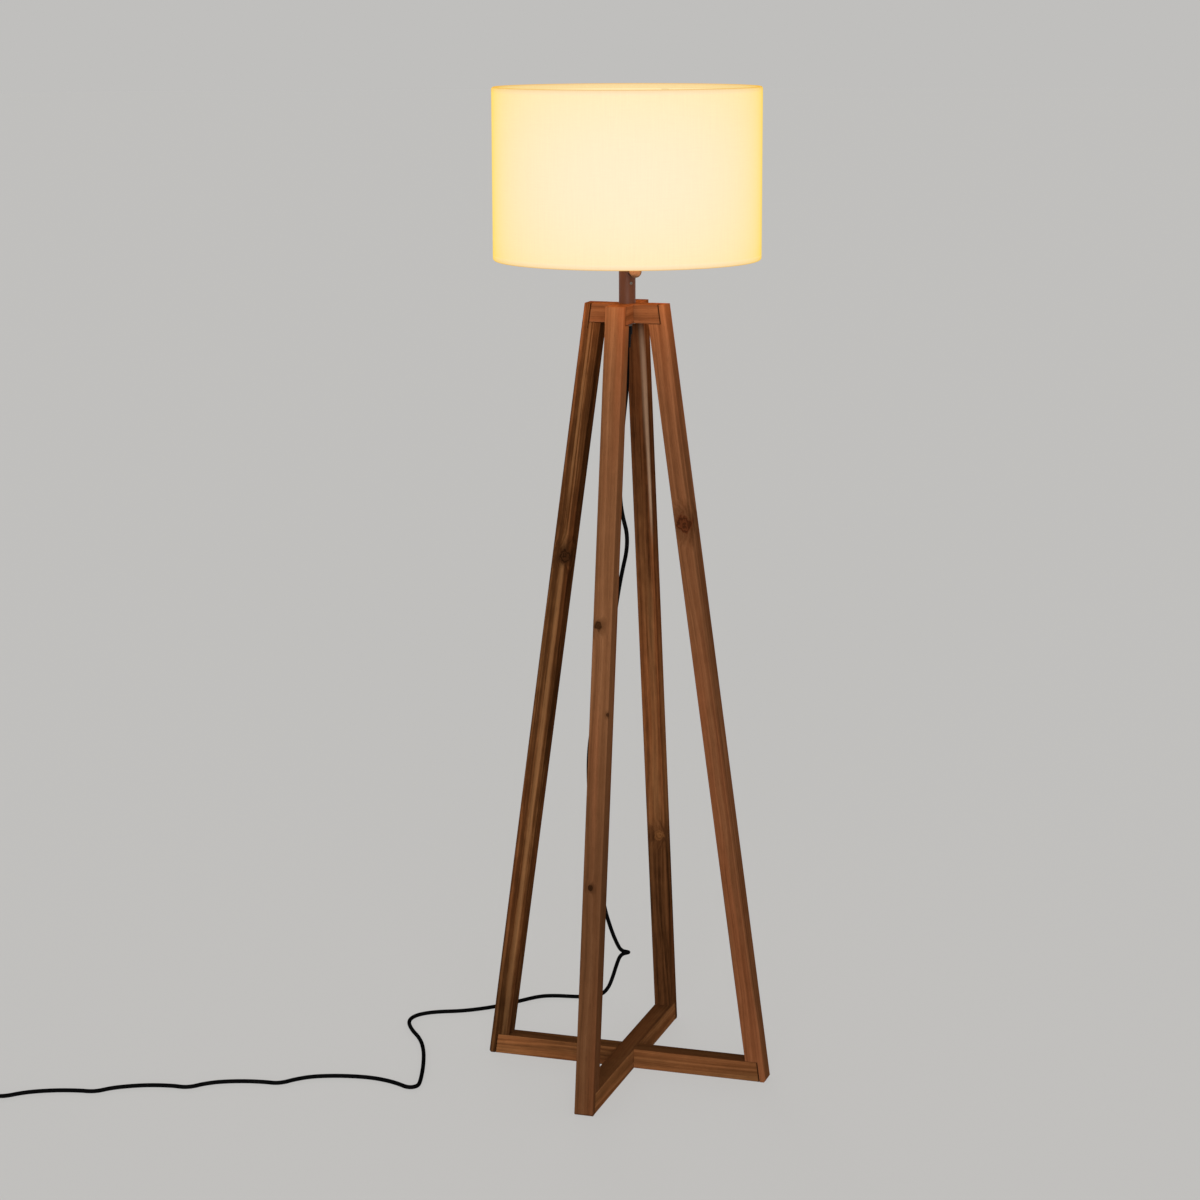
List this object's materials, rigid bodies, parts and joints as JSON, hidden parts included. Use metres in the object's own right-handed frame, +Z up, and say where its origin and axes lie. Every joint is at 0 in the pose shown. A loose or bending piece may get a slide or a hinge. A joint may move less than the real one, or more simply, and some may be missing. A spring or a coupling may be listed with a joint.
{
  "type": "floor lamp",
  "caption": "Floor lamp with two crossed wooden A-frames, a short post with a rotary switch, and a drum shade around a screw-in bulb.",
  "frame": {"origin": "on the floor, under the post, midway between the feet", "axes": "+Z up; the side frame spans X and the fore-and-aft frame spans Y; the lap joints show on the -Y and +X faces"},
  "size_m": [1.2106, 0.8955, 1.521],
  "materials": {
    "wood_side_frame": "oiled, fine straight grain",
    "wood_fore_frame": "oiled, fine straight grain",
    "wood_plug": "oiled end grain",
    "knob_wood": "turned and waxed",
    "steel": "zinc-plated",
    "post_paint": "satin brown",
    "white_wire": "white powder coat",
    "brass": "plain",
    "white_plastic": "moulded",
    "black_plastic": "moulded",
    "ceramic_white": "glossy",
    "bulb_shell": "plated",
    "opal": "opal, lit from inside",
    "led_phosphor": "yellow",
    "shade_fabric": "cream, translucent, lit from inside",
    "cord_black": "smooth black sheath",
    "wire_brown": "brown insulation",
    "wire_blue": "blue insulation"
  },
  "bodies": {
    "frame": {"leg_right": "wood_side_frame", "leg_left": "wood_side_frame", "leg_back": "wood_fore_frame", "leg_front": "wood_fore_frame", "bottom_bar_side": "wood_side_frame", "bottom_bar_fore_aft": "wood_fore_frame", "top_bar_side": "wood_side_frame", "top_bar_fore_aft": "wood_fore_frame", "lap_screws": "steel", "screw_plugs": "wood_plug", "crossing_screw": "steel", "threaded_tube": "steel", "clamp_washer": "steel", "clamp_nut": "steel", "cord_grip": "black_plastic", "post_spigot": "steel", "post_tube": "post_paint", "grub_screw": "steel", "post_top_plug": "steel", "holder_stem": "steel", "switch_body": "black_plastic", "switch_saddle": "post_paint", "switch_nut": "brass", "holder_cap": "white_plastic", "holder_shell": "white_plastic", "holder_core": "ceramic_white", "holder_terminals": "brass", "screw_socket": "brass", "contact_spring": "steel", "lower_shade_ring": "white_plastic", "upper_shade_ring": "white_plastic", "cord_inner_end": "cord_black", "neutral_wire": "wire_blue", "feed_wire": "wire_brown", "switched_wire": "wire_brown", "supply_cord": "cord_black", "cord_coil": "cord_black", "coil_tie": "black_plastic", "cord_tail": "cord_black", "plug_relief": "black_plastic", "cord_plug_end": "cord_black", "plug_body": "black_plastic", "plug_pins": "brass", "plug_pin_sleeves": "black_plastic"},
    "switch": {"switch_spindle": "brass", "switch_knob": "knob_wood"},
    "contact": {"contact_plunger": "brass"},
    "bulb": {"bulb_tip": "brass", "bulb_insulator": "black_plastic", "bulb_cap": "bulb_shell", "bulb_body": "white_plastic", "bulb_dome": "opal", "bulb_led_board": "white_plastic", "bulb_led_chips": "led_phosphor"},
    "shade": {"shade_fabric": "shade_fabric", "shade_top_wire": "white_wire", "shade_bottom_wire": "white_wire", "shade_hub": "white_wire", "shade_arms": "white_wire"}
  },
  "joints": [
    {"name": "switch_turn", "type": "hinge", "parent": "frame", "child": "switch", "pos_m": [0, 0, 1.251], "axis": [0.7071, -0.7071, 0], "range_deg": [0, 90]},
    {"name": "contact_travel", "type": "slide", "parent": "frame", "child": "contact", "axis": [0, 0, 1], "range_m": [0, 0.00182], "deforming": ["contact_spring"]},
    {"name": "bulb_turn", "type": "hinge", "parent": "contact", "child": "bulb", "pos_m": [0, 0, 1.33], "axis": [0, 0, 1], "range_deg": [0, 180]},
    {"name": "shade_turn", "type": "hinge", "parent": "frame", "child": "shade", "pos_m": [0, 0, 1.293], "axis": [0, 0, 1], "continuous": true}
  ],
  "couplings": [
    {"joint": "contact_travel", "follows": "bulb_turn", "m_per_rad": 0.00057774}
  ]
}
